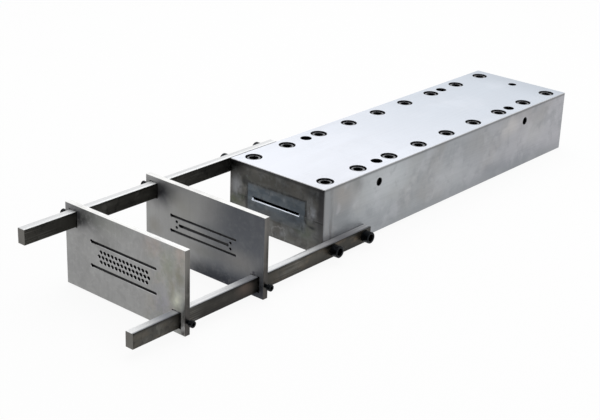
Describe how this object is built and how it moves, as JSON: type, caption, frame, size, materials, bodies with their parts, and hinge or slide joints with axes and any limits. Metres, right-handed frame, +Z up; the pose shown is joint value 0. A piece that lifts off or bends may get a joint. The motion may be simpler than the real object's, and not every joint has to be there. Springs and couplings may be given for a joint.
{
  "type": "pultrusion die",
  "caption": "Split steel die block for pulled flat profiles, bolted by two rows of recessed socket screws, with two side rails carrying slotted and drilled guide plates before its entry slot.",
  "frame": {"origin": "middle of the die block's underside", "axes": "+Y is the way the profile is pulled, from the guide plates through the block; +Z is up; +X is to the right seen from the guide plates"},
  "size_m": [0.3422, 1.427, 0.164],
  "materials": {
    "die_steel": "ground tool steel, satin",
    "rail_steel": "bright drawn bar",
    "plate_steel": "ground plate",
    "black_oxide": "black oxide",
    "dowel_steel": "hardened and ground"
  },
  "bodies": {
    "die": {"upper_die_half": "die_steel", "lower_die_half": "die_steel", "left_rail": "rail_steel", "right_rail": "rail_steel", "cap_screw_left_1": "black_oxide", "cap_screw_left_2": "black_oxide", "cap_screw_left_3": "black_oxide", "cap_screw_left_4": "black_oxide", "cap_screw_left_5": "black_oxide", "cap_screw_left_6": "black_oxide", "cap_screw_left_7": "black_oxide", "cap_screw_left_8": "black_oxide", "cap_screw_left_9": "black_oxide", "cap_screw_right_1": "black_oxide", "cap_screw_right_2": "black_oxide", "cap_screw_right_3": "black_oxide", "cap_screw_right_4": "black_oxide", "cap_screw_right_5": "black_oxide", "cap_screw_right_6": "black_oxide", "cap_screw_right_7": "black_oxide", "cap_screw_right_8": "black_oxide", "cap_screw_right_9": "black_oxide", "dowel_pin_left_entry": "dowel_steel", "dowel_pin_left_exit": "dowel_steel", "dowel_pin_right_entry": "dowel_steel", "dowel_pin_right_exit": "dowel_steel", "rail_bolt_left_front": "black_oxide", "rail_bolt_left_rear": "black_oxide", "rail_bolt_right_front": "black_oxide", "rail_bolt_right_rear": "black_oxide"},
    "front_plate": {"front_guide_plate": "plate_steel", "front_clamp_screw_left": "black_oxide", "front_clamp_screw_right": "black_oxide"},
    "rear_plate": {"rear_guide_plate": "plate_steel", "rear_clamp_screw_left": "black_oxide", "rear_clamp_screw_right": "black_oxide"}
  },
  "joints": [
    {"name": "front_plate_slide", "type": "slide", "parent": "die", "child": "front_plate", "axis": [0, 1, 0], "range_m": [-0.09, 0.08]},
    {"name": "rear_plate_slide", "type": "slide", "parent": "die", "child": "rear_plate", "axis": [0, 1, 0], "range_m": [-0.08, 0.18]}
  ]
}
